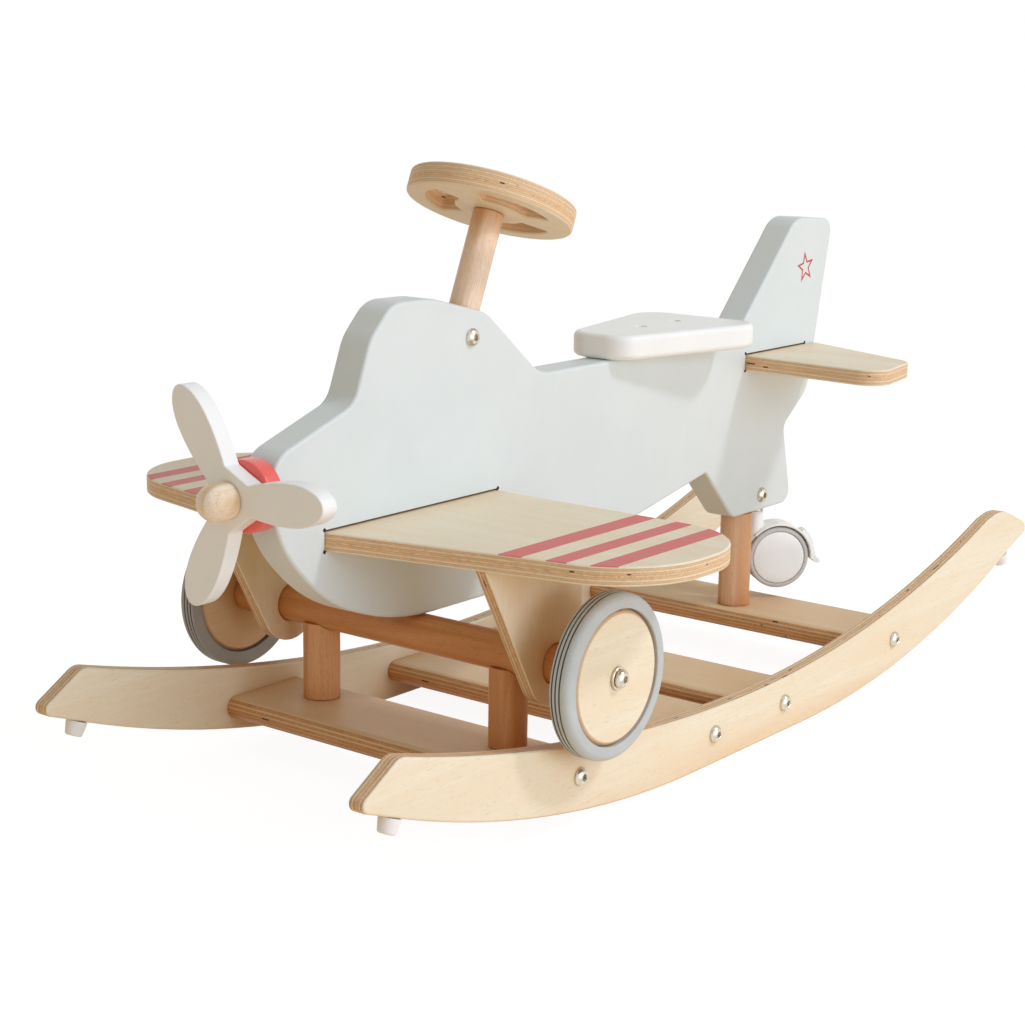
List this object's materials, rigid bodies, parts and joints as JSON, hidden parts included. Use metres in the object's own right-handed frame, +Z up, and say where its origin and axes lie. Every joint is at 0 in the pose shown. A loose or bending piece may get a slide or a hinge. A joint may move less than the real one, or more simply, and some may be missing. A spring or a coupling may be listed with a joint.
{
  "type": "ride-on airplane",
  "caption": "Toddler's wooden ride-on airplane with wing, seat, steering wheel, propeller, front wheels and tail caster, bolted onto a curved rocker base.",
  "frame": {"origin": "on the floor under the middle of the rockers' length, in the airplane's plane of symmetry", "axes": "+Z up, -Y towards the propeller, +X towards the side that faces the camera in the picture"},
  "size_m": [0.442, 0.8377, 0.4018],
  "materials": {
    "birch_plywood": "clear varnished birch plywood, layered edges",
    "beech_dowel": "clear varnished beech",
    "pale_mint_paint": "satin pale mint-grey paint",
    "white_paint": "satin white paint",
    "red_paint": "satin red paint",
    "grey_tyre": "matte pale blue-grey rubber",
    "grey_tread": "matte grey rubber",
    "nickel_plated_steel": "warm nickel plating",
    "white_plastic": "smooth white plastic",
    "white_rubber": "matte white rubber"
  },
  "bodies": {
    "airframe": {"rocker_left": "birch_plywood", "rocker_right": "birch_plywood", "cross_board_front": "birch_plywood", "cross_board_mid_front": "birch_plywood", "cross_board_mid_rear": "birch_plywood", "cross_board_rear": "birch_plywood", "wing": "birch_plywood", "tailplane": "birch_plywood", "strut_left": "birch_plywood", "strut_right": "birch_plywood", "front_post_left": "beech_dowel", "front_post_right": "beech_dowel", "rear_post": "beech_dowel", "axle_beam": "beech_dowel", "steering_column": "beech_dowel", "propeller_dome": "beech_dowel", "fuselage": "pale_mint_paint", "seat": "white_paint", "propeller_spacer": "red_paint", "rocker_bolt_front_left": "nickel_plated_steel", "rocker_bolt_front_right": "nickel_plated_steel", "rocker_bolt_mid_front_left": "nickel_plated_steel", "rocker_bolt_mid_front_right": "nickel_plated_steel", "rocker_bolt_mid_rear_left": "nickel_plated_steel", "rocker_bolt_mid_rear_right": "nickel_plated_steel", "rocker_bolt_rear_left": "nickel_plated_steel", "rocker_bolt_rear_right": "nickel_plated_steel", "wheel_bolt_left": "nickel_plated_steel", "wheel_bolt_right": "nickel_plated_steel", "column_bolt": "nickel_plated_steel", "tail_bolt": "nickel_plated_steel", "steering_bolt": "nickel_plated_steel", "wheel_washer_left": "nickel_plated_steel", "wheel_washer_right": "nickel_plated_steel", "seat_screw_front": "nickel_plated_steel", "seat_screw_rear": "nickel_plated_steel", "post_rod_front_left": "nickel_plated_steel", "post_rod_front_right": "nickel_plated_steel", "post_rod_rear": "nickel_plated_steel", "propeller_pin": "nickel_plated_steel", "caster_stem": "nickel_plated_steel", "rocker_foot_front_left": "white_rubber", "rocker_foot_front_right": "white_rubber", "rocker_foot_rear_left": "white_rubber", "rocker_foot_rear_right": "white_rubber"},
    "front_wheel_left": {"wheel_disc_left": "birch_plywood", "tyre_left": "grey_tyre"},
    "front_wheel_right": {"wheel_disc_right": "birch_plywood", "tyre_right": "grey_tyre"},
    "propeller": {"propeller": "white_paint"},
    "steering": {"steering_wheel": "birch_plywood"},
    "caster": {"caster_hood": "white_plastic", "caster_axle": "nickel_plated_steel"},
    "caster_wheels": {"caster_wheel_left": "white_plastic", "caster_wheel_right": "white_plastic", "caster_tread_left": "grey_tread", "caster_tread_right": "grey_tread"},
    "brake": {"brake_pedal": "white_plastic"}
  },
  "joints": [
    {"name": "front_wheel_left_spin", "type": "hinge", "parent": "airframe", "child": "front_wheel_left", "pos_m": [-0.1576, -0.2193, 0.102], "axis": [1, 0, 0], "continuous": true},
    {"name": "front_wheel_right_spin", "type": "hinge", "parent": "airframe", "child": "front_wheel_right", "pos_m": [0.1576, -0.2193, 0.102], "axis": [1, 0, 0], "continuous": true},
    {"name": "propeller_spin", "type": "hinge", "parent": "airframe", "child": "propeller", "pos_m": [0, -0.3763, 0.2145], "axis": [0, -1, 0], "continuous": true},
    {"name": "steering_spin", "type": "hinge", "parent": "airframe", "child": "steering", "pos_m": [0, -0.1414, 0.3748], "axis": [0, 0.3778, 0.9259], "continuous": true},
    {"name": "caster_swivel", "type": "hinge", "parent": "airframe", "child": "caster", "pos_m": [0, 0.2042, 0.1163], "axis": [0, 0, 1], "range_deg": [-70, 150]},
    {"name": "caster_roll", "type": "hinge", "parent": "caster", "child": "caster_wheels", "pos_m": [0.01245, 0.21802, 0.0745], "axis": [0.7431, -0.6691, 0], "continuous": true},
    {"name": "brake_tip", "type": "hinge", "parent": "caster", "child": "brake", "pos_m": [0.0265, 0.23363, 0.0967], "axis": [0.7431, -0.6691, 0], "range_deg": [0, 12]}
  ]
}
